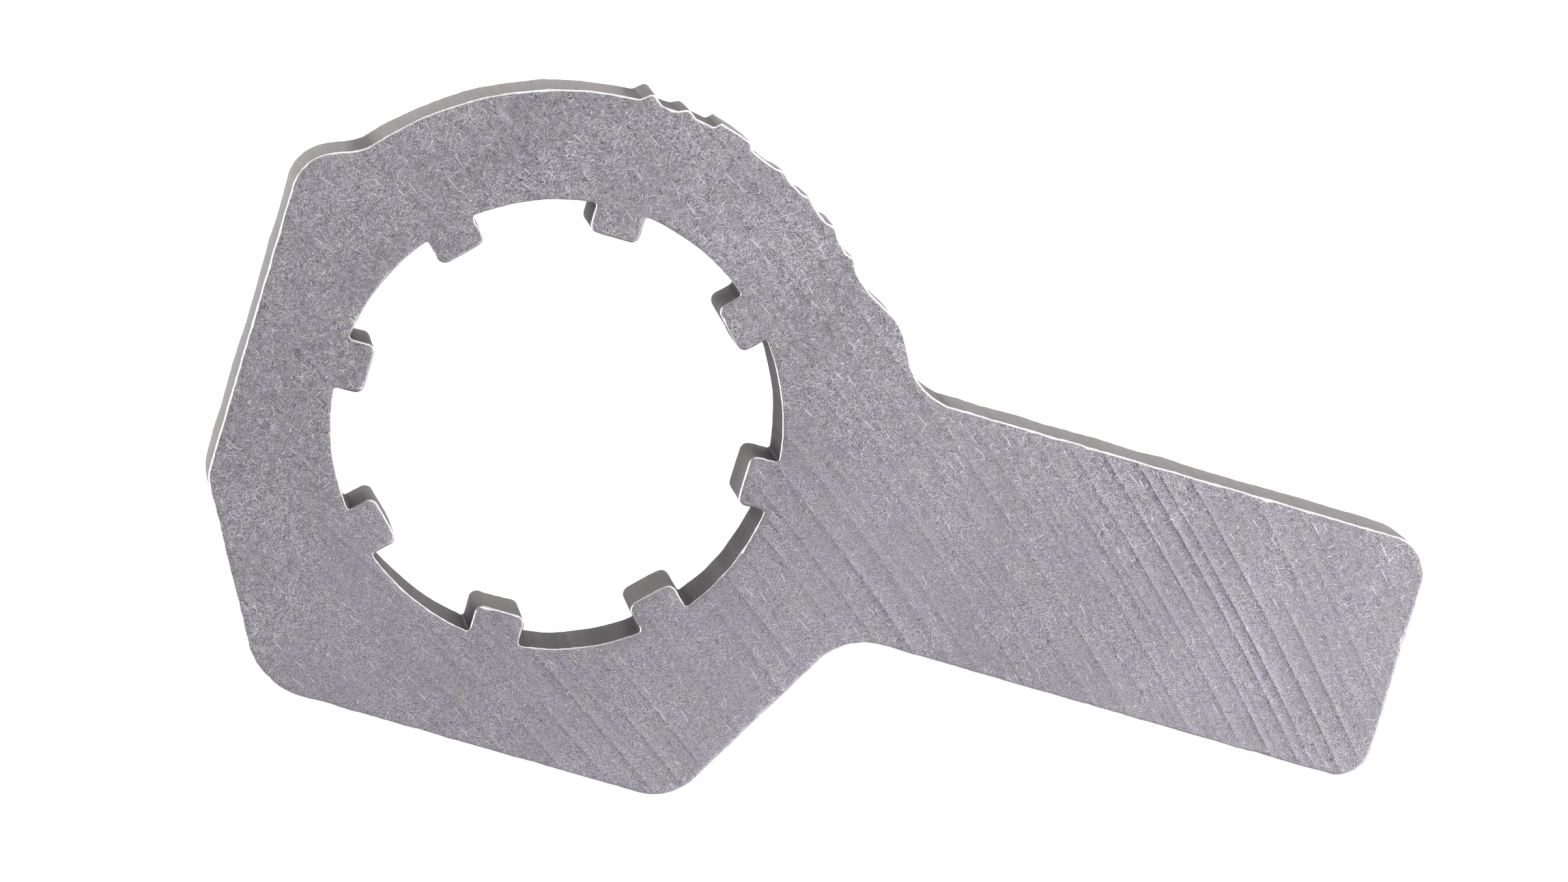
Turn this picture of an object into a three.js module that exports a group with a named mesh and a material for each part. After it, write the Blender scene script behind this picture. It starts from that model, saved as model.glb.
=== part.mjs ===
// Hydrant wrench: one flat aluminium plate with a lugged ring at one end and a straight handle.
//
// Eight square lugs inside the ring drop into the slots of a hydrant nozzle, and the handle turns it.
// Millimetres. The outline is drawn in the plate's own plane, with the ring's centre at (0, 0) and
// the handle along +X. The finished plate lies on its back face: +Z is up, and the origin is under
// the middle of its bounding box.

import * as THREE from 'three';
import { mergeVertices } from 'three/addons/utils/BufferGeometryUtils.js';

// The plate.
const THICKNESS = 25.4;
const EDGE_BREAK = 0.5;

// The lugged hole.
const HOLE_RADIUS = 46;
const LUG_COUNT = 8;
const LUG_WIDTH = 10.4;
const LUG_TIP_DISTANCE = 39.8;
const LUG_TIP_ROUND = 1.8;
const LUG_ROOT_FILLET = 0.6;

// The ring's outside: a round rim above, and flats like part of a hexagon below.
const RIM_RADIUS = 68.4;
const LEFT_FLAT = 65.4;
const BOTTOM_FLAT = 68;
const LOWER_LEFT_FLAT = 71.7;
const LOWER_RIGHT_FLAT = 72.4;
const UPPER_NECK_FLAT = 73;
const SHOULDER_FLAT = 63.5;
const SHOULDER_NORMAL = 62.3;
const SLOPE_FLAT = 59.1;
const SLOPE_NORMAL = 111;

// The handle.
const HANDLE_END = 180.2;
const HANDLE_TOP = 25.9;
const HANDLE_BOTTOM = 25.1;

// Radii of the outline's corners. A negative radius is a hollow fillet.
const HANDLE_CORNER = 7.5;
const NECK_FILLET = -13;
const SHOULDER_ROUND = 12;
const SHOULDER_FILLET = -16;
const SLOPE_FILLET = -9;
const UPPER_LEFT_ROUND = 9.75;
const LEFT_ROUND = 10;
const LOWER_LEFT_ROUND = 15.5;
const LOWER_RIGHT_ROUND = 12;

// The grip ridges on the rim. They are evenly spaced and worn to different heights. The third and the
// fourth are lost in a raised pad.
const FIRST_RIDGE_ANGLE = 90.3;
const RIDGE_PITCH = 6.43;
const RIDGE_HEIGHTS = [1.65, 0.95, 0, 0, 0.6, 0.7, 0.9, 0.8];
const FIRST_RIDGE_HALF_WIDTH = 2.3;
const RIDGE_HALF_WIDTH = 1.9;
const PAD = { from: 71.3, to: 78.4, height: 1.45, step: 1 };

// How finely the curves are divided, in degrees.
const CORNER_STEP = 10;
const SMALL_CORNER_STEP = 24;
const HOLE_STEP = 5;
const RIM_STEP = 5;
const RIDGE_STEP = 0.5;

const RAD = Math.PI / 180;

// A point of the plane at a distance from the ring's centre, in the direction of an angle.
function polar(distance, angle) {
  return new THREE.Vector2(distance * Math.cos(angle * RAD), distance * Math.sin(angle * RAD));
}

// The centre of the corner between two edges. A straight edge is { normal, distance }: the angle
// of its outward normal, and its distance from the ring's centre. A round edge is { radius }.
function cornerCentre(before, after, radius) {
  if (before.radius || after.radius) {
    const line = before.radius ? after : before;
    const reach = (before.radius ?? after.radius) - radius;
    const turn = Math.acos((line.distance - radius) / reach) / RAD;
    const side = (before.radius ? -1 : 1) * Math.sign(radius);
    return polar(reach, line.normal + side * turn);
  }
  const a = polar(1, before.normal);
  const b = polar(1, after.normal);
  const p = before.distance - radius;
  const q = after.distance - radius;
  const cross = a.x * b.y - a.y * b.x;
  return new THREE.Vector2((p * b.y - q * a.y) / cross, (q * a.x - p * b.x) / cross);
}

// An angle moved by whole turns to lie as near as it can to another.
function nearest(angle, reference) {
  return angle + 360 * Math.round((reference - angle) / 360);
}

// The corner between two edges: its centre, its radius, and the normals at its two ends.
function corner(before, after) {
  const radius = before.corner;
  const centre = cornerCentre(before, after, radius);
  const direction = centre.angle() / RAD;
  const from = before.normal ?? direction;
  const to = nearest(after.normal ?? direction, from);
  return { centre, radius, from, to };
}

// Points along a corner, both ends included.
function cornerPoints({ centre, radius, from, to }) {
  const step = Math.abs(radius) < 3 ? SMALL_CORNER_STEP : CORNER_STEP;
  const count = Math.ceil(Math.abs(to - from) / step);
  const points = [];
  for (let i = 0; i <= count; i += 1) {
    points.push(polar(radius, from + ((to - from) * i) / count).add(centre));
  }
  return points;
}

// Points along a round edge between the corners at its ends, neither end included.
function roundPoints(edge, from, to) {
  const end = to < from ? to + 360 : to;
  const points = [];
  let angle = from + edge.stepAt(from);
  while (angle < end - edge.stepAt(angle) / 2) {
    points.push(polar(edge.radiusAt(angle), angle));
    angle += edge.stepAt(angle);
  }
  return points;
}

// A closed outline, anticlockwise, from a ring of edges.
function outline(edges) {
  const corners = edges.map((edge, i) => corner(edge, edges[(i + 1) % edges.length]));
  const points = [];
  edges.forEach((edge, i) => {
    const previous = corners[(i + edges.length - 1) % edges.length];
    if (edge.radius) {
      points.push(...roundPoints(edge, previous.to, corners[i].from));
    }
    points.push(...cornerPoints(corners[i]));
  });
  return points;
}

function flat(normal, distance, cornerRadius) {
  return { normal, distance, corner: cornerRadius };
}

function smoothStep(x) {
  const t = Math.min(Math.max(x, 0), 1);
  return t * t * (3 - 2 * t);
}

// How far the rim stands out beyond its plain radius at an angle.
function standOut(angle) {
  const insidePad = Math.min(angle - PAD.from, PAD.to - angle);
  let height = PAD.height * smoothStep(insidePad / PAD.step + 0.5);
  RIDGE_HEIGHTS.forEach((ridgeHeight, i) => {
    const halfWidth = i === 0 ? FIRST_RIDGE_HALF_WIDTH : RIDGE_HALF_WIDTH;
    const offset = Math.abs(angle - (FIRST_RIDGE_ANGLE - i * RIDGE_PITCH)) / halfWidth;
    if (offset < 1) {
      height = Math.max(height, (ridgeHeight * (1 + Math.cos(Math.PI * offset))) / 2);
    }
  });
  return height;
}

function nearRidges(angle) {
  const first = FIRST_RIDGE_ANGLE + FIRST_RIDGE_HALF_WIDTH;
  const last = FIRST_RIDGE_ANGLE - (RIDGE_HEIGHTS.length - 1) * RIDGE_PITCH - RIDGE_HALF_WIDTH;
  return angle > last - RIM_STEP && angle < first;
}

function plateOutline() {
  const rim = {
    radius: RIM_RADIUS,
    corner: SLOPE_FILLET,
    radiusAt: (angle) => RIM_RADIUS + standOut(angle),
    stepAt: (angle) => (nearRidges(angle) ? RIDGE_STEP : RIM_STEP),
  };
  return outline([
    flat(0, HANDLE_END, HANDLE_CORNER),
    flat(90, HANDLE_TOP, NECK_FILLET),
    flat(30, UPPER_NECK_FLAT, SHOULDER_ROUND),
    flat(SHOULDER_NORMAL, SHOULDER_FLAT, SHOULDER_FILLET),
    rim,
    flat(SLOPE_NORMAL, SLOPE_FLAT, UPPER_LEFT_ROUND),
    flat(180, LEFT_FLAT, LEFT_ROUND),
    flat(210, LOWER_LEFT_FLAT, LOWER_LEFT_ROUND),
    flat(270, BOTTOM_FLAT, LOWER_RIGHT_ROUND),
    flat(330, LOWER_RIGHT_FLAT, NECK_FILLET),
    flat(270, HANDLE_BOTTOM, HANDLE_CORNER),
  ]);
}

function holeOutline() {
  const root = {
    radius: HOLE_RADIUS,
    corner: LUG_ROOT_FILLET,
    radiusAt: () => HOLE_RADIUS,
    stepAt: () => HOLE_STEP,
  };
  const edges = [];
  for (let i = 0; i < LUG_COUNT; i += 1) {
    const angle = (360 / LUG_COUNT) * i;
    edges.push(root);
    edges.push(flat(angle + 90, -LUG_WIDTH / 2, -LUG_TIP_ROUND));
    edges.push(flat(angle, LUG_TIP_DISTANCE, -LUG_TIP_ROUND));
    edges.push(flat(angle - 90, -LUG_WIDTH / 2, LUG_ROOT_FILLET));
  }
  return outline(edges);
}

// The plate's body: the outline with its hole, given its thickness and a small break on every edge.
function plateGeometry() {
  const shape = new THREE.Shape(plateOutline());
  shape.holes.push(new THREE.Path(holeOutline()));
  const extruded = new THREE.ExtrudeGeometry(shape, {
    depth: THICKNESS - 2 * EDGE_BREAK,
    bevelEnabled: true,
    bevelThickness: EDGE_BREAK,
    bevelSize: EDGE_BREAK,
    bevelOffset: -EDGE_BREAK,
    bevelSegments: 1,
  });
  extruded.deleteAttribute('normal');
  extruded.deleteAttribute('uv');
  const geometry = mergeVertices(extruded);
  geometry.computeBoundingBox();
  const { min, max } = geometry.boundingBox;
  return geometry.translate(-(min.x + max.x) / 2, -(min.y + max.y) / 2, -min.z);
}

const aluminium = new THREE.MeshStandardMaterial({
  color: new THREE.Color('#9d999e'),
  roughness: 0.55,
  metalness: 1,
});

const wrench = new THREE.Group();
const wrenchPlate = new THREE.Mesh(plateGeometry(), aluminium);
wrenchPlate.name = 'wrench_plate';
wrench.add(wrenchPlate);

export default wrench;
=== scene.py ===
"""Hydrant wrench: the looks of one flat aluminium plate with a lugged ring and a straight handle.

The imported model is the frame. This script lays a finer surface over the same plate: rounded edges,
saw marks, dents and nicks as real shape, with a tumbled aluminium finish.

The outline is in millimetres in the plate's own plane, with the ring's centre at 0 and the handle
along +X. Its points are complex numbers. What Blender is given is in metres, in the model's frame.
"""

import cmath
import math
import random

import bpy
import numpy as np
from mathutils import Matrix, Vector
from mathutils.geometry import delaunay_2d_cdt


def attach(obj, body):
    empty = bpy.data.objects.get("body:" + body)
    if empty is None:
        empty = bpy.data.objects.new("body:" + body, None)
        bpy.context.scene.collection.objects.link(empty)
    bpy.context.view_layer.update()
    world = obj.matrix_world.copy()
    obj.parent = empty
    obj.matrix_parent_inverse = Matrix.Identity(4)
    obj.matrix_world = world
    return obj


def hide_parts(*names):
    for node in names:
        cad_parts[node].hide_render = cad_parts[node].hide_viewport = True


MM = 0.001

# The plate, as in the CAD.
THICKNESS = 25.4
HOLE_RADIUS = 46
LUG_COUNT = 8
LUG_WIDTH = 10.4
LUG_TIP_DISTANCE = 39.8
LUG_TIP_ROUND = 1.8
LUG_ROOT_FILLET = 0.6
RIM_RADIUS = 68.4
LEFT_FLAT = 65.4
BOTTOM_FLAT = 68
LOWER_LEFT_FLAT = 71.7
LOWER_RIGHT_FLAT = 72.4
UPPER_NECK_FLAT = 73
SHOULDER_FLAT = 63.5
SHOULDER_NORMAL = 62.3
SLOPE_FLAT = 59.1
SLOPE_NORMAL = 111
HANDLE_END = 180.2
HANDLE_TOP = 25.9
HANDLE_BOTTOM = 25.1

# Radii of the outline's corners. A negative radius is a hollow fillet.
HANDLE_CORNER = 7.5
NECK_FILLET = -13
SHOULDER_ROUND = 12
SHOULDER_FILLET = -16
SLOPE_FILLET = -9
UPPER_LEFT_ROUND = 9.75
LEFT_ROUND = 10
LOWER_LEFT_ROUND = 15.5
LOWER_RIGHT_ROUND = 12

# The grip ridges on the rim, worn to different heights, and the raised pad that two are lost in.
FIRST_RIDGE_ANGLE = 90.3
RIDGE_PITCH = 6.43
RIDGE_HEIGHTS = (1.65, 0.95, 0, 0, 0.6, 0.7, 0.9, 0.8)
FIRST_RIDGE_HALF_WIDTH = 2.3
RIDGE_HALF_WIDTH = 1.9
PAD_FROM = 71.3
PAD_TO = 78.4
PAD_HEIGHT = 1.45
PAD_STEP = 1
# The pad's far end is worn lower than it was cut, and its step is less steep.
PAD_WEAR = 0.32
PAD_WORN_STEP = 1.5

# Smooth noise: how many waves it adds up, their lengths as shares of the one asked for, and what
# brings their mean back to about -1 to 1.
WAVE_COUNT = 5
WAVE_LENGTHS = (0.7, 1.5)
WAVE_GAIN = 1.8

# How finely the outline is divided: degrees on curves, millimetres on straight stretches.
CORNER_STEP = 3
SMALL_CORNER_STEP = 12
HOLE_STEP = 0.75
RIDGE_STEP = 0.35
STRAIGHT_STEP = 0.6

# The worn edge between a face and a wall.
EDGE_ROUND = 0.48
EDGE_UNEVEN = 0.14
EDGE_WAVE_SIZES = (10, 2.7)
TOP_EDGE_CHANNEL = 11
BOTTOM_EDGE_CHANNEL = 21
OUTER_WEAR = 8
HOLE_WEAR = 3
HOLE_SHELTER = 0.5
LEAST_ROUND = 0.2
EDGE_SEGMENTS = 4
NICK_COUNT = 34
NICK_SIZES = (0.5, 1.1)
NICK_DEPTH = 0.35

# The walls: rows of points at shares of the way down, and how they are darkened. A dark line runs
# along the front edge, painted shade darkens them towards the front, on the hole's walls and in the
# hollows of the outline, and they are darker about the ridges.
WALL_SHARES = (0.008, 0.03, 0.2, 0.4, 0.6, 0.8, 0.97, 0.992)
WALL_WAVE = 0.05
WALL_WAVE_SIZES = (8, 2.2)
WALL_NARROW_SHARE = 0.6
WALL_CHANNELS = (1, 2)
BACK_WAVE = 0.16
BACK_WAVE_SIZE = 16
BACK_CHANNELS = (31, 32)
BACK_LEAN = 0.3
BACK_LEAN_ANGLE = 66
BACK_LEAN_SPREAD = 12
FRONT_EDGE_DARK_LINE = 0.9
FRONT_PAINTED_SHADE = 0.25
RIDGE_DARKENING = 0.65
RIDGE_DARKENING_ANGLE = 87
RIDGE_DARKENING_SPREAD = 8
HOLE_PAINTED_SHADE = 0.35
HOLLOW_SPREAD = 90
HOLLOW_DEPTH = 0.35
# Painted light from the floor: how much brighter a wall is at the back.
BACK_PAINTED_LIGHT = 0.22

# Saw marks: the plate was cut from its stock by a big round saw, which was fed along Y. Each mark is
# the same arc, moved along Y, and the arcs' centres are at one X.
SAW_RADIUS = 730
SAW_CENTRE = -374
# A mark's place is a distance across it, so it is less than the distance along Y.
SAW_SLANT = 0.75
SAW_DEPTH = 0.05
# Each row is a place across a mark, how much of its depth it has there, and how dark it is there
# with painted shade, or how bright with painted highlight if negative.
SAW_SHAPE = (
    (-1.5, 0.0, 0.0), (-0.6, -0.3, 0.4), (-0.25, -0.55, 0.65), (-0.05, -0.35, 1.65), (0.2, 0.0, -0.1),
    (0.5, 0.35, -0.6), (0.95, 0.3, -0.45), (2.1, 0.0, 0.0),
)
# The marks that stand out. A tooth that stood proud of the others left one mark a turn, so its marks
# are a pitch apart. Each run is its first mark's place, how many marks it has, and how strong its
# first and its last one are.
MARK_PITCH = 5.05
MARK_RUNS = (
    (-41, 5, 0.4, 0.5), (0, 7, 0.4, 0.4), (40, 4, 0.25, 0.25), (60, 3, 0.3, 0.4), (63.5, 5, 0.35, 1.0),
    (86.5, 5, 1.0, 0.35),
)
# The faint marks between them: the places they lie between, and the ranges of pitch and strength.
FAINT_MARKS = (-70, 134)
FAINT_PITCH = (3, 6.5)
FAINT_STRENGTH = (0.08, 0.28)
# A mark comes and goes over this length, from a noise channel of its own.
FADE_SIZE = 35
FIRST_MARK_CHANNEL = 3
# Tumbling has worn the marks fainter towards the ring's left: what is left of them at these two x.
FADE_ACROSS = (-50, 15)
FADE_SHARES = (0.3, 1)

# The faces' mesh: how clear of the edges its lines stay, the least gap between them, the step along
# them, and the widest gap. Points nearer to each other than the last are joined.
EDGE_CLEARANCE = 1.0
LINE_GAP = 0.15
LINE_STEP = 1.2
FACE_STEP = 1.35
JOIN_DISTANCE = 0.01

# Broad stains and waviness on the faces, and the seeds of what is random on them.
STAIN = 0.1
STAIN_SIZE = 80
FACE_WAVE = 0.035
FACE_WAVE_SIZE = 26
FRONT_SEED = 3
FRONT_STAIN_SEED = 4
BACK_SEED = 8
BACK_STAIN_SEED = 9
BACK_SHIFT = 400

# Dents: place, length, width, direction and depth. These are the large ones on the front. The small
# ones are random, within the ranges given below.
LARGE_DENTS = (
    (41.5 - 3.8j, 2.0, 2.0, 0, 0.10),
    (122 + 6j, 2.6, 0.7, 78, 0.10),
    (121.2 + 4.9j, 1.6, 0.5, 20, 0.08),
    (134 + 7j, 1.8, 0.7, -20, 0.07),
    (149.8 + 25.2j, 2.6, 1.0, 0, 0.16),
)
SMALL_DENT_COUNT = 80
SMALL_DENT_LENGTHS = (0.6, 2.4)
SMALL_DENT_WIDTHS = (0.35, 0.6)
SMALL_DENT_DEPTHS = (0.03, 0.08)
# How much darker a dent is towards its middle.
DENT_DARKENING = 0.7
DENT_RINGS = (0.35, 0.7, 1.0)
DENT_RING_ANGLE = 36
DENT_RING_TURN = 18

# The camera: a long lens, almost straight above the plate.
CAMERA_PLACE = Vector((-0.2412, 0.1926, 2.0572))
CAMERA_AIM = Vector((-0.012, 0.0087, 0.0254))
CAMERA_UP = Vector((-0.2766, 0.9538, -0.1175))
CAMERA_LENS = 231.2

# Light colours, and the floor's half width and its gap under the plate.
WARM_WHITE = (1, 0.99, 0.98)
COOL_WHITE = (0.99, 0.98, 1)
FLOOR_HALF = 40
FLOOR_GAP = 0.0001


# The outline.


def polar(distance, angle):
    """The point at a distance from the ring's centre, in the direction of an angle in degrees."""
    return cmath.rect(distance, math.radians(angle))


def flat(normal, distance, corner):
    """A straight edge: its outward normal's angle, its distance, and the radius of its end corner."""
    return {"normal": normal, "distance": distance, "corner": corner}


def arc(radius, corner, step, height=lambda angle: 0):
    """A round edge about the ring's centre."""
    return {"radius": radius, "corner": corner, "step": step, "height": height}


def corner_centre(before, after, radius):
    """The centre of the corner between two edges."""
    if "radius" in before or "radius" in after:
        line, round_edge = (after, before) if "radius" in before else (before, after)
        reach = round_edge["radius"] - radius
        turn = math.degrees(math.acos((line["distance"] - radius) / reach))
        side = math.copysign(1, radius) * (-1 if "radius" in before else 1)
        return polar(reach, line["normal"] + side * turn)
    a = polar(1, before["normal"])
    b = polar(1, after["normal"])
    p = before["distance"] - radius
    q = after["distance"] - radius
    cross = a.real * b.imag - a.imag * b.real
    return complex(p * b.imag - q * a.imag, q * a.real - p * b.real) / cross


def corner(before, after):
    """The corner between two edges: its centre, its radius, and the normals at its two ends."""
    radius = before["corner"]
    centre = corner_centre(before, after, radius)
    direction = math.degrees(cmath.phase(centre))
    start = before.get("normal", direction)
    end = after.get("normal", direction)
    end += 360 * round((start - end) / 360)
    return centre, radius, start, end


def corner_points(centre, radius, start, end):
    """Points along a corner, both ends included."""
    step = SMALL_CORNER_STEP if abs(radius) < 3 else CORNER_STEP
    count = math.ceil(abs(end - start) / step)
    return [centre + polar(radius, start + (end - start) * i / count) for i in range(count + 1)]


def arc_points(edge, start, end):
    """Points along a round edge between the corners at its ends, neither end included."""
    if end < start:
        end += 360
    count = math.ceil((end - start) / edge["step"])
    angles = [start + (end - start) * i / count for i in range(1, count)]
    return [polar(edge["radius"] + edge["height"](angle), angle) for angle in angles]


def outline(edges):
    """A closed outline, anticlockwise, from a ring of edges."""
    corners = [corner(edge, edges[(i + 1) % len(edges)]) for i, edge in enumerate(edges)]
    points = []
    for i, edge in enumerate(edges):
        if "radius" in edge:
            points += arc_points(edge, corners[i - 1][3], corners[i][2])
        points += corner_points(*corners[i])
    return divide(points)


def divide(points):
    """The same closed outline with its long stretches divided."""
    divided = []
    for here, there in zip(points, points[1:] + points[:1]):
        count = max(1, math.ceil(abs(there - here) / STRAIGHT_STEP))
        divided += [here + (there - here) * i / count for i in range(count)]
    return np.array(divided)


def smooth_step(x):
    t = min(max(x, 0), 1)
    return t * t * (3 - 2 * t)


def stand_out(angle):
    """How far the rim stands out beyond its plain radius at an angle."""
    along_pad = min(max((PAD_TO - angle) / (PAD_TO - PAD_FROM), 0), 1)
    inside_pad = min((angle - PAD_FROM) / PAD_WORN_STEP, (PAD_TO - angle) / PAD_STEP)
    height = PAD_HEIGHT * (1 - PAD_WEAR * along_pad**2) * smooth_step(inside_pad + 0.5)
    for i, ridge_height in enumerate(RIDGE_HEIGHTS):
        half_width = RIDGE_HALF_WIDTH if i else FIRST_RIDGE_HALF_WIDTH
        offset = abs(angle - (FIRST_RIDGE_ANGLE - i * RIDGE_PITCH)) / half_width
        if offset < 1:
            height = max(height, ridge_height * (1 + math.cos(math.pi * offset)) / 2)
    return height


def plate_outline():
    return outline([
        flat(0, HANDLE_END, HANDLE_CORNER),
        flat(90, HANDLE_TOP, NECK_FILLET),
        flat(30, UPPER_NECK_FLAT, SHOULDER_ROUND),
        flat(SHOULDER_NORMAL, SHOULDER_FLAT, SHOULDER_FILLET),
        arc(RIM_RADIUS, SLOPE_FILLET, RIDGE_STEP, stand_out),
        flat(SLOPE_NORMAL, SLOPE_FLAT, UPPER_LEFT_ROUND),
        flat(180, LEFT_FLAT, LEFT_ROUND),
        flat(210, LOWER_LEFT_FLAT, LOWER_LEFT_ROUND),
        flat(270, BOTTOM_FLAT, LOWER_RIGHT_ROUND),
        flat(330, LOWER_RIGHT_FLAT, NECK_FILLET),
        flat(270, HANDLE_BOTTOM, HANDLE_CORNER),
    ])


def hole_outline():
    edges = []
    for i in range(LUG_COUNT):
        angle = 360 / LUG_COUNT * i
        edges.append(arc(HOLE_RADIUS, LUG_ROOT_FILLET, HOLE_STEP))
        edges.append(flat(angle + 90, -LUG_WIDTH / 2, -LUG_TIP_ROUND))
        edges.append(flat(angle, LUG_TIP_DISTANCE, -LUG_TIP_ROUND))
        edges.append(flat(angle - 90, -LUG_WIDTH / 2, LUG_ROOT_FILLET))
    return outline(edges)


# The shape of the faces: how far each point lies below the plain face.


def wave(points, wavelength, channel):
    """Smooth noise from about -1 to 1 over the plane: a few waves that run in random directions."""
    source = random.Random(channel)
    total = np.zeros(len(points))
    for _ in range(WAVE_COUNT):
        length = wavelength * source.uniform(*WAVE_LENGTHS)
        heading = polar(2 * math.pi / length, source.uniform(0, 360))
        total += np.sin((points * heading).real + source.uniform(0, 2 * math.pi))
    return total / WAVE_COUNT * WAVE_GAIN


def saw_arc(x):
    """How far up the saw's arc through the ring's centre lies at each x."""
    return np.sqrt(SAW_RADIUS**2 - (x - SAW_CENTRE) ** 2) - math.sqrt(SAW_RADIUS**2 - SAW_CENTRE**2)


def saw_place(points):
    """Each point's place across the saw's marks."""
    return (points.imag - saw_arc(points.real)) * SAW_SLANT


def saw_point(place, x):
    """The point at a place across the marks."""
    return x + 1j * (place / SAW_SLANT + saw_arc(x))


def saw_marks(random_source, strong):
    """The marks of one face: each one's place, strength and noise channel."""
    marks = list(strong)
    place = FAINT_MARKS[0]
    while place < FAINT_MARKS[1]:
        marks.append((place, random_source.uniform(*FAINT_STRENGTH)))
        place += random_source.uniform(*FAINT_PITCH)
    return [(*mark, FIRST_MARK_CHANNEL + i) for i, mark in enumerate(sorted(marks))]


def proud_marks(runs):
    """The marks of the proud teeth: in each run the strength changes evenly from mark to mark."""
    marks = []
    for first, count, start, end in runs:
        for i in range(count):
            marks.append((first + MARK_PITCH * i, start + (end - start) * i / (count - 1)))
    return sorted(marks)


def saw_strength(mark, x):
    """How strong a mark is at each x. It comes and goes, less so if it is a strong one."""
    _, strength, channel = mark
    fade = wave(x + 0j, FADE_SIZE, channel)
    worn_off = np.interp(x, FADE_ACROSS, FADE_SHARES)
    return worn_off * strength * np.clip(0.75 + 0.25 * strength + 0.5 * fade, 0.15, 1.0)


def dent_shares(dent, points):
    """How much of a dent's depth each point has."""
    place, length, width, direction, _ = dent
    local = (points - place) * polar(1, -direction)
    reach = (2 * local.real / length) ** 2 + (2 * local.imag / width) ** 2
    return np.clip(1 - reach, 0, 1) ** 1.5


class Face:
    """One face of the plate: its saw marks and dents."""

    def __init__(self, seed, stain_seed, strong_marks, large_dents, clear):
        self.random = random.Random(seed)
        self.channel = seed
        self.stain_channel = stain_seed
        self.marks = saw_marks(self.random, strong_marks)
        self.dents = list(large_dents) + self.small_dents(clear)

    def small_dents(self, clear):
        """Random dents whose middles are on the plate."""
        draw = self.random.uniform
        places = np.array([complex(draw(-64, 178), draw(-66, 68)) for _ in range(3 * SMALL_DENT_COUNT)])
        places = places[clear(places, 1)][:SMALL_DENT_COUNT]
        dents = []
        for place in places:
            length = draw(*SMALL_DENT_LENGTHS)
            width = draw(*SMALL_DENT_WIDTHS)
            direction = draw(0, 180)
            dents.append((place, length, width, direction, draw(*SMALL_DENT_DEPTHS)))
        return dents

    def depth(self, points):
        """How far each point lies below the plain face, and how dark it is: stains, dents, and the
        painted shade and highlight of the saw marks.
        """
        place = saw_place(points)
        low = FACE_WAVE * wave(points, FACE_WAVE_SIZE, self.channel)
        dirt_and_painted_shade = -STAIN * wave(points, STAIN_SIZE, self.stain_channel)
        offsets, depths, painted_shade_and_highlight = zip(*SAW_SHAPE)
        for mark in self.marks:
            near = np.nonzero((place > mark[0] + offsets[0]) & (place < mark[0] + offsets[-1]))[0]
            strength = saw_strength(mark, points.real[near])
            low[near] += SAW_DEPTH * strength * np.interp(place[near] - mark[0], offsets, depths)
            # Painted shade and painted highlight across the mark's groove.
            dirt_and_painted_shade[near] += strength * np.interp(place[near] - mark[0], offsets, painted_shade_and_highlight)
        for dent in self.dents:
            share = dent_shares(dent, points)
            low += dent[-1] * share
            dirt_and_painted_shade += DENT_DARKENING * share
        return low, dirt_and_painted_shade

    def lines(self):
        """Places across the saw's direction where the surface needs a line of points."""
        kept = []
        for mark in sorted(self.marks, key=lambda mark: -mark[1]):
            for row in SAW_SHAPE[1:-1]:
                place = mark[0] + row[0]
                if all(abs(place - other) > LINE_GAP for other in kept):
                    kept.append(place)
        kept.sort()
        lines = kept[:1]
        for place in kept[1:]:
            start = lines[-1]
            count = math.ceil((place - start) / FACE_STEP)
            lines += [start + (place - start) * i / count for i in range(1, count + 1)]
        return lines

    def dent_points(self):
        """Rings of points round each dent."""
        points = []
        for place, length, width, direction, _ in self.dents:
            points.append(place)
            for share in DENT_RINGS:
                for i in range(360 // DENT_RING_ANGLE):
                    spot = polar(share / 2, DENT_RING_ANGLE * i + DENT_RING_TURN * share)
                    local = complex(spot.real * length, spot.imag * width)
                    points.append(place + local * polar(1, direction))
        return points


# The mesh.


def inside_loop(points, loop):
    """True for each point inside a closed outline."""
    inside = np.zeros(len(points), bool)
    for a, b in zip(loop, np.roll(loop, -1)):
        if a.imag == b.imag:
            continue
        crosses = (a.imag > points.imag) != (b.imag > points.imag)
        x = a.real + (points.imag - a.imag) / (b.imag - a.imag) * (b.real - a.real)
        inside ^= crosses & (points.real < x)
    return inside


def distance_to(points, loop):
    """Each point's distance to the nearest point of an outline."""
    return np.concatenate([
        np.abs(part[:, None] - loop[None, :]).min(1)
        for part in np.array_split(points, max(1, len(points) // 500))
    ])


def clearance_test(outer, hole):
    """A test of whether points are on the plate and a distance clear of its edges."""

    def clear(points, distance):
        on_plate = inside_loop(points, outer) & ~inside_loop(points, hole)
        on_plate[on_plate] &= distance_to(points[on_plate], outer) > distance
        on_plate[on_plate] &= distance_to(points[on_plate], hole) > distance
        return on_plate

    return clear


def outward(loop):
    """The unit normals that point out of the plate, which lies on the loop's left."""
    along = np.roll(loop, -1) - np.roll(loop, 1)
    return -1j * along / np.abs(along)


def path_lengths(loop):
    """The distance walked along the loop at each point, and at its end."""
    return np.concatenate([[0], np.cumsum(np.abs(np.roll(loop, -1) - loop))])


def spread(values, times):
    """Values smoothed along a closed loop."""
    for _ in range(times):
        values = (np.roll(values, 1) + 2 * values + np.roll(values, -1)) / 4
    return values


def bump(loop, angle, spread_angle):
    """A smooth rise to 1 about an angle round the ring, outside the hole."""
    off = np.angle(loop * polar(1, -angle), deg=True) / spread_angle
    return np.exp(-(off**2)) * (np.abs(loop) > HOLE_RADIUS + 5)


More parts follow.
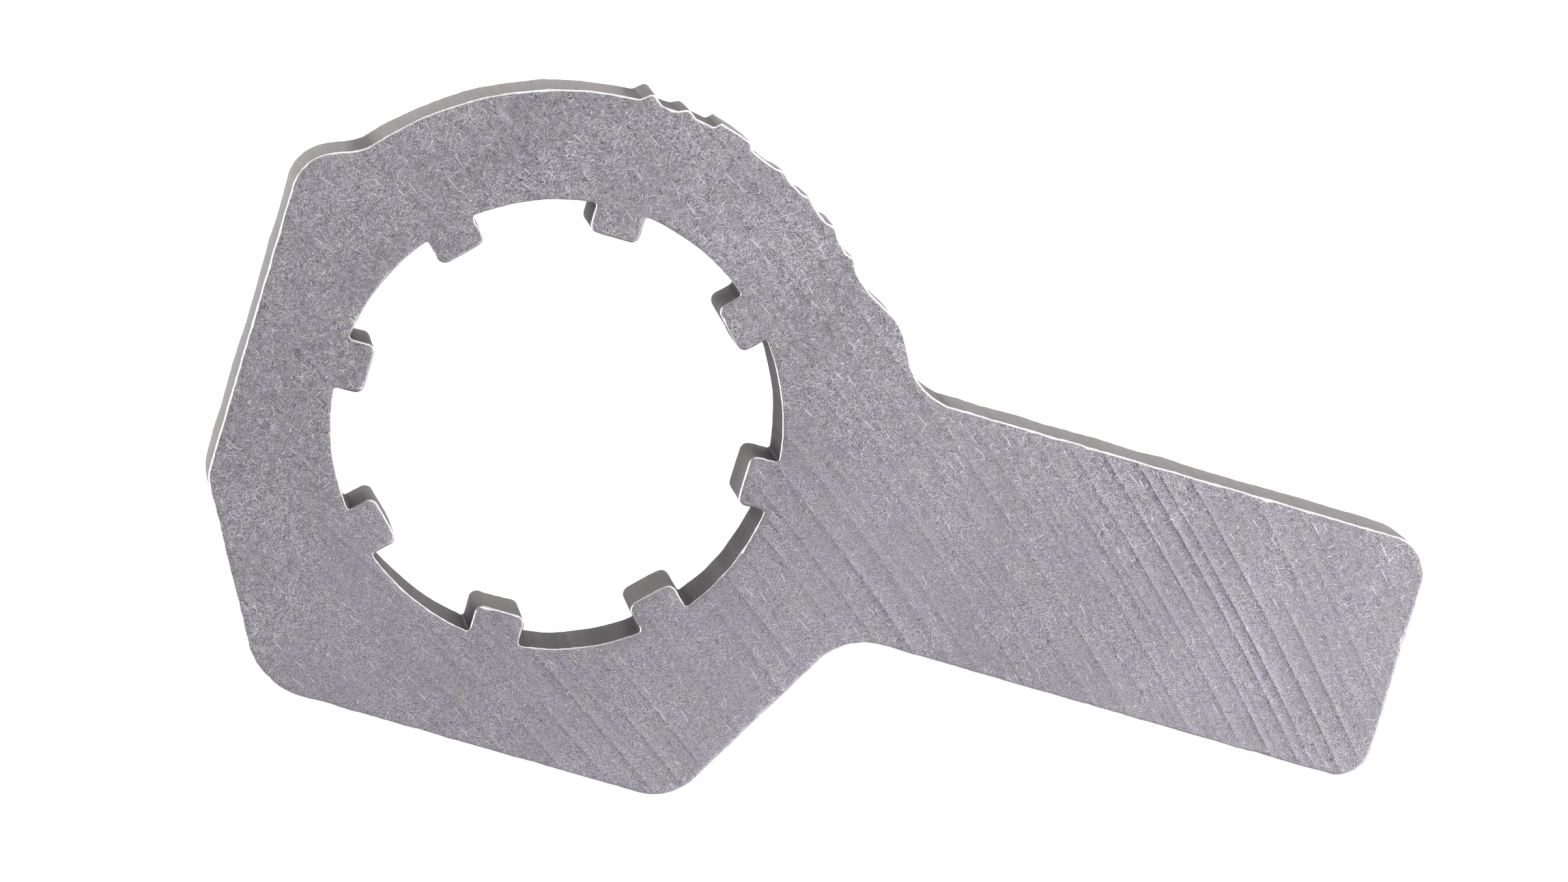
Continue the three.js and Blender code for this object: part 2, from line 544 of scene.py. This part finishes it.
def edge_rounds(loop, channel, nicks, shelter):
    """The worn edge's radius at each point: uneven, nicked, and less in sheltered corners."""
    wide, narrow = EDGE_WAVE_SIZES
    radius = EDGE_ROUND + EDGE_UNEVEN * (wave(loop, wide, channel) + wave(loop, narrow, channel + 1)) / 2
    for place, size in nicks:
        radius += NICK_DEPTH * size * np.exp(-((np.abs(loop - place) / size) ** 2))
    return np.clip(radius * (1 - shelter), LEAST_ROUND, None)


def face_edge(loop, rounds, wear):
    """The edge of a flat face. It is the loop worn smooth, and moved in by the rounded edge."""
    worn = spread(loop, wear)
    return worn - outward(worn) * rounds


def hollows(loop):
    """How deep each point lies in a hollow of the outline, from 0 to 1."""
    beyond = spread(loop, HOLLOW_SPREAD) - loop
    return np.clip((beyond * outward(loop).conjugate()).real / HOLLOW_DEPTH, 0, 1)


def edge_rows(loop, inner, rounds, level, up):
    """Rows of points round a worn edge, from its face to its wall: place, height, worn, dirt and painted
    shade, wall.
    """
    rows = []
    for i in range(EDGE_SEGMENTS + 1):
        turn = math.radians(90 * i / EDGE_SEGMENTS)
        height = level - up * rounds * (1 - math.cos(turn))
        rows.append((inner + (loop - inner) * math.sin(turn), height, math.sin(2 * turn), 0, 0))
    return rows


def side_rows(loop, back_loop, top_edge, bottom_edge, base_painted_shade_and_darkening):
    """Rows of points down the side of the plate, from face to face."""
    top = edge_rows(loop, *top_edge, 1)
    bottom = edge_rows(back_loop, *bottom_edge, -1)[::-1]
    high, low = top[-1][1], bottom[0][1]
    painted_hollow_shade = hollows(loop)
    wall = []
    for share in WALL_SHARES:
        # Painted shade, deeper towards the front and in the outline's hollows, on top of the base
        # darkening.
        dirt_and_painted_shade = base_painted_shade_and_darkening + FRONT_PAINTED_SHADE * (1 - share) + painted_hollow_shade
        if share == WALL_SHARES[0]:
            # A dark line along the front edge.
            dirt_and_painted_shade = dirt_and_painted_shade + FRONT_EDGE_DARK_LINE
        place = loop + (back_loop - loop) * share**2
        # The last column marks the wall, and adds painted light from the floor towards the back.
        wall.append((place, high + (low - high) * share, 0, dirt_and_painted_shade, 1 + BACK_PAINTED_LIGHT * share**2))
    return top + wall + bottom


class PlateMesh:
    """Collects the plate's vertices and faces, with what the material needs to know of them."""

    def __init__(self):
        self.points = []
        self.heights = []
        self.worn = []
        self.dirt_and_painted_shade = []
        self.wall = []
        self.faces = []
        self.grain = []

    def add_points(self, points, heights, worn, dirt_and_painted_shade, wall):
        """Adds vertices and returns their indices."""
        first = len(self.points)
        self.points.extend(points)
        self.heights.extend(np.broadcast_to(heights, len(points)))
        self.worn.extend(np.broadcast_to(worn, len(points)))
        self.dirt_and_painted_shade.extend(np.broadcast_to(dirt_and_painted_shade, len(points)))
        self.wall.extend(np.broadcast_to(wall, len(points)))
        return np.arange(first, len(self.points))

    def add_side(self, loop, rows):
        """Adds the side of one loop and returns its top and its bottom row."""
        walked = path_lengths(loop)
        indices = [self.add_points(*row) for row in rows]
        for r in range(len(rows) - 1):
            upper, lower = indices[r], indices[r + 1]
            on_wall = EDGE_SEGMENTS <= r < len(rows) - 1 - EDGE_SEGMENTS
            for j in range(len(loop)):
                k = (j + 1) % len(loop)
                self.faces.append((upper[j], lower[j], lower[k], upper[k]))
                if on_wall:
                    a, b = self.heights[upper[j]], self.heights[lower[j]]
                    s, t = walked[j], walked[j + 1]
                    self.grain += [(s, a, 1), (s, b, 1), (t, b, 1), (t, a, 1)]
                else:
                    self.grain += [self.face_grain(i) for i in self.faces[-1]]
        return indices[0], indices[-1]

    def face_grain(self, index):
        """Where a point lies in the material's pattern. The back has a part of it to itself."""
        point = self.points[index]
        shift = 0 if self.heights[index] > THICKNESS / 2 else BACK_SHIFT
        return point.real, point.imag + shift, 0

    def add_face(self, face, loops, rims, clear, up):
        """Fills the face between the outline and the hole."""
        points, edges = list(np.concatenate(loops)), []
        first = 0
        for loop in loops:
            edges += [(first + i, first + (i + 1) % len(loop)) for i in range(len(loop))]
            first += len(loop)
        rim_count = first
        x = np.arange(-LOWER_LEFT_FLAT, HANDLE_END, LINE_STEP)
        lines = saw_point(np.array(face.lines())[:, None], x[None, :])
        kept = clear(lines.ravel(), EDGE_CLEARANCE).reshape(lines.shape)
        numbers = np.where(kept, len(points) - 1 + np.cumsum(kept).reshape(lines.shape), -1)
        points += list(lines[kept])
        joined = kept[:, :-1] & kept[:, 1:]
        edges += list(zip(numbers[:, :-1][joined], numbers[:, 1:][joined]))
        spots = np.array(face.dent_points())
        points += list(spots[clear(spots, EDGE_CLEARANCE)])
        vectors = [Vector((p.real, p.imag)) for p in points]
        found = delaunay_2d_cdt(vectors, edges, [], 0, JOIN_DISTANCE, True)
        places = np.array([complex(*v) for v in found[0]])
        triangles = np.array([t for t in found[2] if len(t) == 3])
        middles = places[triangles].mean(1)
        triangles = triangles[inside_loop(middles, loops[0]) & ~inside_loop(middles, loops[1])]
        low, dirt_and_painted_shade = face.depth(places)
        rim = np.concatenate(rims)
        numbers = np.full(len(places), -1)
        for i, source in enumerate(found[3]):
            on_rim = [s for s in source if s < rim_count]
            if on_rim:
                numbers[i] = rim[on_rim[0]]
                self.dirt_and_painted_shade[numbers[i]] = dirt_and_painted_shade[i]
        fresh = np.nonzero(numbers < 0)[0]
        heights = THICKNESS - low if up else low
        numbers[fresh] = self.add_points(places[fresh], heights[fresh], 0, dirt_and_painted_shade[fresh], 0)
        for a, b, c in triangles:
            area = ((places[b] - places[a]).conjugate() * (places[c] - places[a])).imag
            corners = (a, b, c) if (area > 0) == up else (a, c, b)
            self.faces.append(tuple(numbers[i] for i in corners))
            self.grain += [self.face_grain(i) for i in self.faces[-1]]

    def build(self, name, middle):
        """Makes the Blender object, with the middle of the outline's box over the origin."""
        mesh = bpy.data.meshes.new(name)
        spots = np.array(self.points) - middle
        places = np.stack([spots.real, spots.imag, np.array(self.heights)], 1) * MM
        mesh.from_pydata(places.tolist(), [], [[int(i) for i in f] for f in self.faces])
        saw = saw_place(np.array(self.points))
        known = {"worn": self.worn, "dirt_and_painted_shade": self.dirt_and_painted_shade, "wall": self.wall, "saw": saw}
        for key, values in known.items():
            attribute = mesh.attributes.new(key, "FLOAT", "POINT")
            attribute.data.foreach_set("value", np.array(values, np.float32))
        grain = mesh.attributes.new("grain", "FLOAT_VECTOR", "CORNER")
        grain.data.foreach_set("vector", np.array(self.grain, np.float32).ravel())
        mesh.polygons.foreach_set("use_smooth", [True] * len(mesh.polygons))
        mesh.validate()
        mesh.update()
        made = bpy.data.objects.new(name, mesh)
        bpy.context.scene.collection.objects.link(made)
        return made


def wavy(loop, channel):
    """The loop with the slight waviness that its cutting left."""
    wide, narrow = WALL_WAVE_SIZES
    waves = wave(loop, wide, channel) + WALL_NARROW_SHARE * wave(loop, narrow, channel + 1)
    return loop + outward(loop) * WALL_WAVE * waves


def back_wavy(loop, channel):
    """The loop at the back face, where the cut wandered further, and leaned in behind the rim."""
    lean = BACK_LEAN * bump(loop, BACK_LEAN_ANGLE, BACK_LEAN_SPREAD)
    return loop + outward(loop) * (BACK_WAVE * wave(loop, BACK_WAVE_SIZE, channel) - lean)


def edge_nicks(random_source, loop, count):
    """Nicks in an edge: where, and how big."""
    return [(random_source.choice(loop), random_source.uniform(*NICK_SIZES)) for _ in range(count)]


def wrench_plate():
    """The plate's body."""
    outer = plate_outline()
    middle = complex(outer.real.min() + outer.real.max(), outer.imag.min() + outer.imag.max()) / 2
    plain = (outer, hole_outline()[::-1])
    loops = [wavy(loop, channel) for loop, channel in zip(plain, WALL_CHANNELS)]
    back_loops = [back_wavy(loop, channel) for loop, channel in zip(loops, BACK_CHANNELS)]
    clear = clearance_test(*loops)
    clear_back = clearance_test(*back_loops)
    front = Face(FRONT_SEED, FRONT_STAIN_SEED, proud_marks(MARK_RUNS), LARGE_DENTS, clear)
    back = Face(BACK_SEED, BACK_STAIN_SEED, proud_marks(MARK_RUNS[::2]), (), clear_back)
    plate = PlateMesh()
    tops, bottoms, top_rims, bottom_rims = [], [], [], []
    wears = (OUTER_WEAR, HOLE_WEAR)
    # The outer walls are darker about the ridges, and the hole's walls have painted shade.
    painted_shade_and_darkening = (RIDGE_DARKENING * bump(loops[0], RIDGE_DARKENING_ANGLE, RIDGE_DARKENING_SPREAD), HOLE_PAINTED_SHADE)
    shelters = (0, HOLE_SHELTER * hollows(loops[1]))
    for number, (loop, back_loop, wear, dirt_and_painted_shade) in enumerate(zip(loops, back_loops, wears, painted_shade_and_darkening)):
        shelter = shelters[number]
        top_nicks = edge_nicks(front.random, loop, NICK_COUNT)
        bottom_nicks = edge_nicks(back.random, back_loop, NICK_COUNT)
        top_round = edge_rounds(loop, TOP_EDGE_CHANNEL + number, top_nicks, shelter)
        bottom_round = edge_rounds(back_loop, BOTTOM_EDGE_CHANNEL + number, bottom_nicks, shelter)
        tops.append(face_edge(loop, top_round, wear))
        bottoms.append(face_edge(back_loop, bottom_round, wear))
        top_level = THICKNESS - front.depth(tops[-1])[0]
        bottom_level = back.depth(bottoms[-1])[0]
        top_edge = (tops[-1], top_round, top_level)
        bottom_edge = (bottoms[-1], bottom_round, bottom_level)
        upper, lower = plate.add_side(loop, side_rows(loop, back_loop, top_edge, bottom_edge, dirt_and_painted_shade))
        top_rims.append(upper)
        bottom_rims.append(lower)
    plate.add_face(front, tops, top_rims, clear, up=True)
    plate.add_face(back, bottoms, bottom_rims, clear_back, up=False)
    return plate.build("wrench_body", middle)


# Materials.


def add_node(tree, kind, inputs=None, **settings):
    """Adds a node. An input given a socket is linked to it, and one given a value is set."""
    made = tree.nodes.new(kind)
    for name, value in settings.items():
        setattr(made, name, value)
    for key, value in (inputs or {}).items():
        if isinstance(value, bpy.types.NodeSocket):
            tree.links.new(value, made.inputs[key])
        else:
            made.inputs[key].default_value = value
    return made


def maths(tree, operation, *values, clamp=False):
    """A maths node's result."""
    inputs = dict(enumerate(values))
    made = add_node(tree, "ShaderNodeMath", inputs, operation=operation, use_clamp=clamp)
    return made.outputs[0]


def remap(tree, value, low, high, to_low=0.0, to_high=1.0):
    """A value taken smoothly from one range to another."""
    inputs = {"Value": value, "From Min": low, "From Max": high, "To Min": to_low, "To Max": to_high}
    made = add_node(tree, "ShaderNodeMapRange", inputs, interpolation_type="SMOOTHSTEP")
    return made.outputs["Result"]


def blend_colour(tree, share, a, b, mode="MIX"):
    """Two colours blended."""
    inputs = {0: share, 6: a, 7: b}
    return add_node(tree, "ShaderNodeMix", inputs, data_type="RGBA", blend_type=mode).outputs[2]


def noise_value(tree, vector, scale, detail=2.0, roughness=0.5, distortion=0.0):
    """Noise from about 0 to 1. Its scale is in features to a millimetre."""
    inputs = {"Vector": vector, "Scale": scale, "Detail": detail, "Roughness": roughness}
    inputs["Distortion"] = distortion
    return add_node(tree, "ShaderNodeTexNoise", inputs).outputs["Fac"]


def moved(tree, vector, offset=(0, 0, 0), turn=0.0, scale=(1, 1, 1)):
    """A vector turned, stretched and shifted."""
    inputs = {"Vector": vector, "Location": offset, "Rotation": (0, 0, turn), "Scale": scale}
    return add_node(tree, "ShaderNodeMapping", inputs).outputs[0]


def curls(tree, vector, scale, distortion):
    """Thin curled lines: where a distorted noise passes its middle value."""
    level = noise_value(tree, vector, scale, 1.0, 0.5, distortion)
    away = maths(tree, "ABSOLUTE", maths(tree, "SUBTRACT", level, 0.5))
    return maths(tree, "MULTIPLY_ADD", away, -16.0, 1.0, clamp=True)


def scratch_group():
    """A node group that draws a short, slightly bent scratch in each of many random cells."""
    tree = bpy.data.node_groups.new("scratches", "ShaderNodeTree")
    tree.interface.new_socket("Vector", in_out="INPUT", socket_type="NodeSocketVector")
    for name in ("Cell", "Length", "Width", "Share", "Spread", "Angle"):
        tree.interface.new_socket(name, in_out="INPUT", socket_type="NodeSocketFloat")
    tree.interface.new_socket("Mark", in_out="OUTPUT", socket_type="NodeSocketFloat")
    given = add_node(tree, "NodeGroupInput").outputs
    inverse = maths(tree, "DIVIDE", 1.0, given["Cell"])
    place = add_node(tree, "ShaderNodeVectorMath", {0: given["Vector"], "Scale": inverse},
                     operation="SCALE")
    plane = add_node(tree, "ShaderNodeVectorMath", {0: place.outputs[0], 1: (1, 1, 0)},
                     operation="MULTIPLY")
    cells = add_node(tree, "ShaderNodeTexVoronoi", {"Vector": plane.outputs[0], "Scale": 1.0},
                     voronoi_dimensions="2D")
    chance = add_node(tree, "ShaderNodeSeparateColor", {"Color": cells.outputs["Color"]}).outputs
    offset = add_node(tree, "ShaderNodeVectorMath", {0: plane.outputs[0], 1: cells.outputs["Position"]},
                      operation="SUBTRACT")
    offset = add_node(tree, "ShaderNodeVectorMath", {0: offset.outputs[0], "Scale": given["Cell"]},
                      operation="SCALE")
    wander = maths(tree, "MULTIPLY", maths(tree, "SUBTRACT", chance[0], 0.5), given["Spread"])
    angle = maths(tree, "MULTIPLY", maths(tree, "ADD", given["Angle"], wander), -1.0)
    turned = add_node(tree, "ShaderNodeVectorRotate", {"Vector": offset.outputs[0], "Angle": angle},
                      rotation_type="Z_AXIS")
    local = add_node(tree, "ShaderNodeSeparateXYZ", {0: turned.outputs[0]}).outputs
    half = maths(tree, "MULTIPLY", given["Length"], maths(tree, "MULTIPLY_ADD", chance[1], 0.35, 0.15))
    reach = maths(tree, "DIVIDE", local[0], half)
    square = maths(tree, "MULTIPLY", reach, reach)
    bend = maths(tree, "SUBTRACT", chance[1], 0.6)
    bend = maths(tree, "MULTIPLY", bend, maths(tree, "MULTIPLY", half, 0.3))
    aside = maths(tree, "ABSOLUTE", maths(tree, "MULTIPLY_ADD", square, bend, local[1]))
    ends = maths(tree, "SUBTRACT", 1.0, square, clamp=True)
    off = maths(tree, "DIVIDE", aside, maths(tree, "MULTIPLY", given["Width"], 0.5))
    body = maths(tree, "SUBTRACT", 1.0, off, clamp=True)
    there = maths(tree, "LESS_THAN", chance[2], given["Share"])
    mark = maths(tree, "MULTIPLY", maths(tree, "MULTIPLY", ends, body), there)
    add_node(tree, "NodeGroupOutput", {"Mark": mark})
    return tree


def aluminium():
    """Tumbled aluminium: mottled lilac grey, felted with fine scratches, bright on its worn edges, with
    painted shade and painted light in its colour.
    """
    material = bpy.data.materials.new("tumbled_aluminium")
    material.use_nodes = True
    tree = material.node_tree
    tree.nodes.clear()
    group = scratch_group()

    def named(name, output):
        return add_node(tree, "ShaderNodeAttribute", attribute_name=name).outputs[output]

    def drawn(vector, cell, length, width, share=1.0, spread=2 * math.pi, angle=0.0):
        """Scratches, with sizes in millimetres. Share is how many of the cells have one."""
        inputs = {"Vector": vector, "Cell": cell, "Length": length, "Width": width}
        inputs.update({"Share": share, "Spread": spread, "Angle": angle})
        return add_node(tree, "ShaderNodeGroup", inputs, node_tree=group).outputs["Mark"]

    grain = named("grain", "Vector")
    place = add_node(tree, "ShaderNodeSeparateXYZ", {0: grain}).outputs
    across = named("saw", "Fac")
    worn = named("worn", "Fac")
    dirt_and_painted_shade = named("dirt_and_painted_shade", "Fac")
    wall = named("wall", "Fac")

    def felt(first, second, scale):
        """Curled and straight fibres, short and long."""
        short = drawn(moved(tree, grain, first, 0.7), 0.75, 1.5, 0.2, share=0.6)
        middling = drawn(moved(tree, grain, first, 1.9), 1.0, 1.9, 0.22, share=0.6)
        long = drawn(moved(tree, grain, second, 2.6), 1.5, 2.8, 0.25, share=0.6)
        straight = maths(tree, "MAXIMUM", maths(tree, "MAXIMUM", short, middling), long)
        curled = maths(tree, "MULTIPLY", curls(tree, moved(tree, grain, second), scale, 2.4), 0.6)
        return maths(tree, "MAXIMUM", curled, straight)

    # Each pattern below is moved to a place of its own, so that no two of them coincide.
    # A fine felt of light and dark fibres, thick in some places and thin in others.
    speck = maths(tree, "SUBTRACT", noise_value(tree, grain, 4.8, 1.0, 0.75), 0.5)
    thick = noise_value(tree, moved(tree, grain, (17, 60, 0)), 0.07, 2.0)
    thick = remap(tree, thick, 0.35, 0.65, 0.8, 1.2)
    # The ring's upper and left parts are more battered than the rest.
    battered = remap(tree, place[1], -5, 45)
    battered = maths(tree, "MAXIMUM", battered, remap(tree, place[0], -30, -50, 0.0, 0.8))
    light = maths(tree, "MULTIPLY", felt((31, 17, 0), (5, 41, 0), 2.6), 1.15)
    dark = maths(tree, "MULTIPLY", felt((71, 9, 0), (47, 11, 0), 2.4), 0.85)
    fibre = maths(tree, "SUBTRACT", light, dark)
    fibre = maths(tree, "MULTIPLY", fibre, maths(tree, "MULTIPLY_ADD", battered, 0.4, 0.64))
    fibre = maths(tree, "MULTIPLY", maths(tree, "MULTIPLY_ADD", speck, 3.3, fibre), thick)

    # Larger scratches, and dashes along the saw's direction.
    sine = maths(tree, "DIVIDE", maths(tree, "SUBTRACT", SAW_CENTRE, place[0]), SAW_RADIUS)
    saw = maths(tree, "ARCSINE", sine)
    bright = drawn(moved(tree, grain, (13, 3, 0), 0.4), 2.0, 1.6, 0.26, share=0.4)
    dash = drawn(moved(tree, grain, (3, 57, 0)), 4.0, 4.0, 0.3, share=0.25, spread=0.35, angle=saw)
    bright = maths(tree, "MAXIMUM", bright, maths(tree, "MULTIPLY", dash, 1.2))
    bright = maths(tree, "MULTIPLY", bright, maths(tree, "MULTIPLY_ADD", battered, 1.0, 0.65))
    gouge = drawn(moved(tree, grain, (23, 77, 0)), 5.0, 2.0, 0.45, share=0.3)
    chip = drawn(moved(tree, grain, (61, 29, 0), 1.3), 2.6, 1.5, 0.5, share=0.35)
    gouge = maths(tree, "MAXIMUM", gouge, maths(tree, "MULTIPLY", chip, battered))
    slanted = add_node(tree, "ShaderNodeCombineXYZ", {0: place[0], 1: across}).outputs[0]
    streaks = noise_value(tree, moved(tree, slanted, scale=(0.06, 1.3, 1)), 1.0, 3.0, 0.6)
    blotch = noise_value(tree, grain, 0.2, 3.0, 0.65, 0.6)
    patch = noise_value(tree, moved(tree, grain, (90, 40, 0)), 0.5, 3.0, 0.78, 0.5)

    # The faces' colour: lilac grey between cool and warm, with olive spots where it is battered.
    cool = (0.450, 0.431, 0.495, 1)
    warm = (0.470, 0.444, 0.473, 1)
    olive = (0.456, 0.451, 0.453, 1)
    face = blend_colour(tree, remap(tree, blotch, 0.36, 0.64), cool, warm)
    spots = noise_value(tree, moved(tree, grain, (55, 5, 0)), 0.9, 2.0, 0.6, 0.5)
    spots = remap(tree, spots, 0.42, 0.64)
    spots = maths(tree, "MULTIPLY", spots, maths(tree, "MULTIPLY_ADD", battered, 0.6, 0.2))
    face = blend_colour(tree, spots, face, olive)
    mottle = maths(tree, "MULTIPLY_ADD", battered, 0.7, 0.3)
    shade = maths(tree, "MULTIPLY_ADD", maths(tree, "SUBTRACT", patch, 0.5), mottle, 1.035)
    shade = maths(tree, "ADD", shade, maths(tree, "MULTIPLY_ADD", streaks, 0.3, -0.15))
    shade = maths(tree, "ADD", shade, maths(tree, "MULTIPLY", fibre, 0.92))
    shade = maths(tree, "ADD", shade, maths(tree, "MULTIPLY", bright, 1.3))
    shade = maths(tree, "SUBTRACT", shade, maths(tree, "MULTIPLY", gouge, 0.5))
    # Stains and dents, and the painted shade and highlight of the saw marks.
    shade = maths(tree, "SUBTRACT", shade, maths(tree, "MULTIPLY", dirt_and_painted_shade, 0.42))
    shade = maths(tree, "MAXIMUM", shade, 0.2)
    face = blend_colour(tree, 1.0, face, shade, "MULTIPLY")

    # The walls' colour: duller and warmer, with faint streaks from face to face.
    runs = noise_value(tree, moved(tree, grain, scale=(1.6, 0.05, 1)), 1.0, 3.0, 0.6)
    wall_shade = maths(tree, "MULTIPLY_ADD", runs, 0.5, 0.72)
    wall_shade = maths(tree, "ADD", wall_shade, maths(tree, "MULTIPLY", fibre, 0.3))
    # Painted shade towards the front, in the hole and in hollows, a dark line at the front edge, and
    # darker walls about the ridges.
    wall_shade = maths(tree, "MULTIPLY", wall_shade, remap(tree, dirt_and_painted_shade, 0.0, 1.3, 1.0, 0.35))
    # Painted light from the floor, brighter towards the back of the wall.
    wall_shade = maths(tree, "MULTIPLY", wall_shade, wall)
    bare_wall = (0.174, 0.160, 0.160, 1)
    side = blend_colour(tree, 1.0, bare_wall, wall_shade, "MULTIPLY")
    colour = blend_colour(tree, wall, face, side)
    rim = maths(tree, "MULTIPLY_ADD", fibre, 0.1, 0.66)
    rim = blend_colour(tree, 1.0, (1, 0.985, 1, 1), rim, "MULTIPLY")
    colour = blend_colour(tree, maths(tree, "MULTIPLY", worn, 0.9), colour, rim)

    rough = maths(tree, "MULTIPLY_ADD", patch, 0.16, 0.46)
    rough = maths(tree, "SUBTRACT", rough, maths(tree, "MULTIPLY", bright, 0.1))
    rough = maths(tree, "ADD", rough, maths(tree, "MULTIPLY", wall, 0.12))
    rough = maths(tree, "SUBTRACT", rough, maths(tree, "MULTIPLY", worn, 0.16))

    height = maths(tree, "MULTIPLY", fibre, 0.5)
    height = maths(tree, "ADD", height, maths(tree, "MULTIPLY", bright, -0.8))
    height = maths(tree, "SUBTRACT", height, maths(tree, "MULTIPLY", gouge, 1.5))
    relief = add_node(tree, "ShaderNodeBump", {"Height": height, "Strength": 0.6, "Distance": 0.02 * MM})

    shader = add_node(tree, "ShaderNodeBsdfPrincipled", {
        "Base Color": colour,
        "Metallic": 1.0,
        "Roughness": rough,
        "Normal": relief.outputs[0],
    })
    add_node(tree, "ShaderNodeOutputMaterial", {"Surface": shader.outputs[0]})
    return material


def pale_floor():
    """A plain, nearly white floor."""
    material = bpy.data.materials.new("pale_floor")
    material.use_nodes = True
    shader = material.node_tree.nodes["Principled BSDF"]
    shader.inputs["Base Color"].default_value = (0.9, 0.9, 0.9, 1)
    shader.inputs["Roughness"].default_value = 0.9
    shader.inputs["Emission Color"].default_value = (1, 1, 1, 1)
    shader.inputs["Emission Strength"].default_value = 1.0
    signs = ((-1, -1), (1, -1), (1, 1), (-1, 1))
    corners = [(x * FLOOR_HALF, y * FLOOR_HALF, -FLOOR_GAP) for x, y in signs]
    mesh = bpy.data.meshes.new("floor")
    mesh.from_pydata(corners, [], [(0, 1, 2, 3)])
    mesh.materials.append(material)
    floor = bpy.data.objects.new("floor", mesh)
    bpy.context.scene.collection.objects.link(floor)
    return floor


# Camera and light.


def add_camera():
    data = bpy.data.cameras.new("camera")
    data.lens = CAMERA_LENS
    data.sensor_width = 36
    data.clip_start = 0.1
    data.clip_end = 100
    camera = bpy.data.objects.new("camera", data)
    back = (CAMERA_PLACE - CAMERA_AIM).normalized()
    right = CAMERA_UP.cross(back).normalized()
    up = back.cross(right)
    turned = Matrix((right, up, back)).transposed().to_4x4()
    camera.matrix_world = Matrix.Translation(CAMERA_PLACE) @ turned
    bpy.context.scene.collection.objects.link(camera)
    bpy.context.scene.camera = camera


def add_softbox(name, place, width, depth, power, colour):
    """A soft rectangular light, aimed at the plate and not seen by the camera itself."""
    data = bpy.data.lights.new(name, "AREA")
    data.shape = "RECTANGLE"
    data.size = width
    data.size_y = depth
    data.energy = power
    data.color = colour
    light = bpy.data.objects.new(name, data)
    light.location = place
    light.rotation_euler = (-Vector(place)).to_track_quat("-Z", "Y").to_euler()
    light.visible_camera = False
    bpy.context.scene.collection.objects.link(light)


def add_light():
    add_softbox("softbox_far", (0.35, 2.0, 0.9), 3.0, 1.2, 36, WARM_WHITE)
    add_softbox("softbox_left", (-2.2, -0.6, 0.2), 1.6, 0.6, 90, WARM_WHITE)
    add_softbox("softbox_right", (0.9, -0.25, 1.1), 0.8, 0.8, 7.5, COOL_WHITE)
    add_softbox("softbox_side", (2.0, 1.1, 0.35), 1.2, 0.7, 28, WARM_WHITE)
    world = bpy.data.worlds.new("studio")
    world.use_nodes = True
    world.node_tree.nodes["Background"].inputs["Color"].default_value = (0.204, 0.2, 0.206, 1)
    bpy.context.scene.world = world
    bpy.context.scene.view_settings.view_transform = "Standard"


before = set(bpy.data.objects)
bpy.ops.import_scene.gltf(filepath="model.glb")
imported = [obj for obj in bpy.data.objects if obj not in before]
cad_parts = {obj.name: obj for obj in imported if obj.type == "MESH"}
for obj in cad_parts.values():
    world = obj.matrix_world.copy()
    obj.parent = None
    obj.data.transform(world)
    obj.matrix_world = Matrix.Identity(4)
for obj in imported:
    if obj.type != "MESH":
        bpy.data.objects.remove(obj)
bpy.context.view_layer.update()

add_camera()
add_light()
plate = wrench_plate()
plate.data.materials.append(aluminium())
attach(plate, "root")
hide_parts("wrench_plate")
pale_floor()
